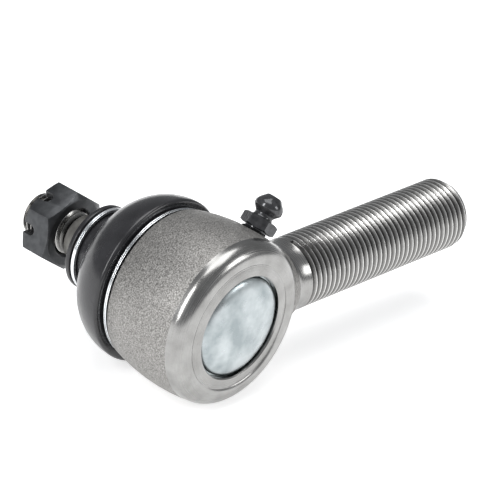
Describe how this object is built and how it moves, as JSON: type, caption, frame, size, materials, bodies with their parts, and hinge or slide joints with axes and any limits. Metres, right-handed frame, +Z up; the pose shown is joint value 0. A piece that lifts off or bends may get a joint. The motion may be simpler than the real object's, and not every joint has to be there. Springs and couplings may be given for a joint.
{
  "type": "tie rod end",
  "caption": "Greasable tie rod end: ball joint housing with a threaded shank, a tapered stud, a rubber boot, a slotted nut and a grease nipple.",
  "frame": {"origin": "the ball's centre, where the shank's axis crosses the stud's axis", "axes": "+X along the shank to its threaded end, +Y along the stud to its threaded tip, +Z up, on the grease nipple's side"},
  "size_m": [0.0973, 0.0616, 0.0418],
  "materials": {
    "forged_steel": "shot-blasted forged steel with a satin machined rim and thread",
    "zinc_plate": "bright zinc plating, soft reflections",
    "spring_steel": "hardened spring steel, satin",
    "washer_steel": "plain steel, satin",
    "seat_plastic": "natural acetal plastic, matte",
    "stud_steel": "ground alloy steel, satin",
    "black_oxide": "black oxide, half-matt",
    "boot_rubber": "smooth black rubber with a dull sheen",
    "ring_steel": "bright zinc-plated spring wire",
    "nipple_black": "glossy black finish",
    "ball_steel": "polished bearing steel"
  },
  "bodies": {
    "housing": {"socket_housing": "forged_steel", "closure_plate": "zinc_plate", "preload_spring": "spring_steel", "upper_bearing_seat": "seat_plastic", "dust_boot": "boot_rubber", "boot_ring_large": "ring_steel", "grease_nipple_body": "nipple_black", "nipple_spring": "spring_steel"},
    "pressure_washer": {"thrust_washer": "washer_steel"},
    "seat": {"lower_bearing_seat": "seat_plastic"},
    "boot_collar": {"boot_ring_small": "ring_steel"},
    "stud": {"ball_stud": "stud_steel", "slotted_nut": "black_oxide"},
    "check_ball": {"nipple_check_ball": "ball_steel"}
  },
  "joints": [
    {"name": "preload_slide", "type": "slide", "parent": "housing", "child": "pressure_washer", "axis": [0, -1, 0], "range_m": [0, 0.0002], "stiffness_N_per_m": 4000, "springref_m": -0.0005},
    {"name": "seat_turn", "type": "hinge", "parent": "pressure_washer", "child": "seat", "pos_m": [0, 0, 0], "axis": [0, 1, 0], "continuous": true},
    {"name": "stud_tilt", "type": "hinge", "parent": "seat", "child": "boot_collar", "pos_m": [0, 0, 0], "axis": [0, 0, 1], "range_deg": [-20, 20], "deforming": ["dust_boot"]},
    {"name": "stud_spin", "type": "hinge", "parent": "boot_collar", "child": "stud", "pos_m": [0, 0, 0], "axis": [0, 1, 0], "continuous": true},
    {"name": "check_ball_slide", "type": "slide", "parent": "housing", "child": "check_ball", "axis": [-0.6157, 0, -0.788], "range_m": [0, 0.0006], "stiffness_N_per_m": 50, "springref_m": -0.001, "deforming": ["nipple_spring"]}
  ]
}
